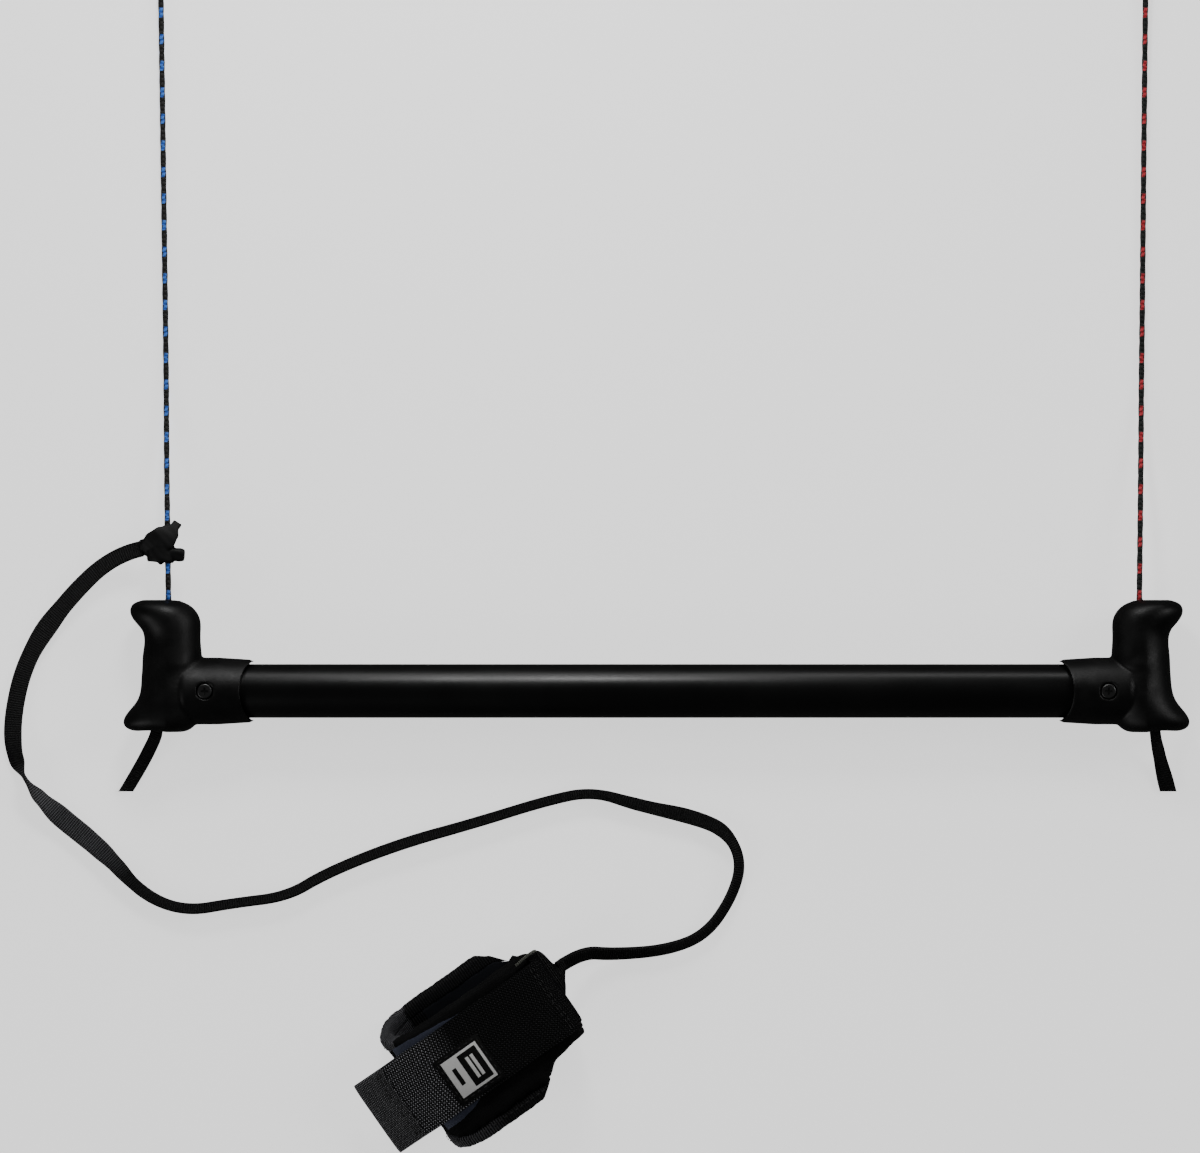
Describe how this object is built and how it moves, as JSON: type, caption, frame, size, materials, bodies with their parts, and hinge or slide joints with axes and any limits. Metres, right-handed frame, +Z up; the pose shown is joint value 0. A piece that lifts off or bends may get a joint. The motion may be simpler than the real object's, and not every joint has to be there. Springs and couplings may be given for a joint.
{
  "type": "kite control bar",
  "caption": "Straight kite control bar with a gripped tube, winding horns at the ends, a leader from each horn and a padded wrist cuff on a leash.",
  "frame": {"origin": "middle of the grip, on the tube's axis", "axes": "+X along the bar to the right-hand (red) leader, +Y towards the kite, +Z up out of the surface that the bar lies on"},
  "size_m": [0.5528, 0.56, 0.0375],
  "materials": {
    "tube": "mill finish",
    "grip": "smooth, satin",
    "fitting": "moulded, satin",
    "nylon": "turned",
    "brass": "turned",
    "screw": "blackened",
    "leader_left": "braided, black with blue flecks",
    "leader_right": "braided, black with red flecks",
    "leash": "ribbed tubular tape",
    "neoprene": "matt",
    "lining": "knitted jersey",
    "binding": "ribbed binding tape",
    "webbing": "coarse woven webbing",
    "hook_and_loop": "hook and loop",
    "label": "woven label"
  },
  "bodies": {
    "bar": {"bar_tube": "tube", "cuff_binding_lower": "binding", "cuff_binding_upper": "binding", "cuff_lining": "lining", "cuff_pad": "neoprene", "end_fitting_left": "fitting", "end_fitting_right": "fitting", "fitting_screw_left": "screw", "fitting_screw_right": "screw", "grip_sleeve": "grip", "leader_core_left": "leader_left", "leader_core_right": "leader_right", "leash_anchor": "webbing", "leash_tape": "leash", "loop_patch": "hook_and_loop", "screw_insert_left": "brass", "screw_insert_right": "brass", "stopper_knot_left": "leader_left", "stopper_knot_right": "leader_right", "tail_tape_left": "leash", "tail_tape_right": "leash", "tube_plug_left": "nylon", "tube_plug_right": "nylon"},
    "left_leader": {"leader_line_left": "leader_left", "leader_end_knot_left": "leader_left", "leash_hitch": "leash"},
    "right_leader": {"leader_line_right": "leader_right", "leader_end_knot_right": "leader_right"},
    "strap": {"strap_webbing": "webbing", "pull_tab": "webbing", "hook_patch": "hook_and_loop", "strap_label": "label"}
  },
  "joints": [
    {"name": "left_leader_swing", "type": "hinge", "parent": "bar", "child": "left_leader", "pos_m": [-0.2272, 0.0444, 0], "axis": [0, 0, 1], "range_deg": [-45, 60], "deforming": ["leash_tape"]},
    {"name": "right_leader_swing", "type": "hinge", "parent": "bar", "child": "right_leader", "pos_m": [0.2248, 0.0444, 0], "axis": [0, 0, 1], "range_deg": [-60, 45]},
    {"name": "strap_peel", "type": "hinge", "parent": "bar", "child": "strap", "pos_m": [-0.04709, -0.14141, 0.01464], "axis": [-0.5736, 0.8192, 0], "range_deg": [0, 120]}
  ]
}
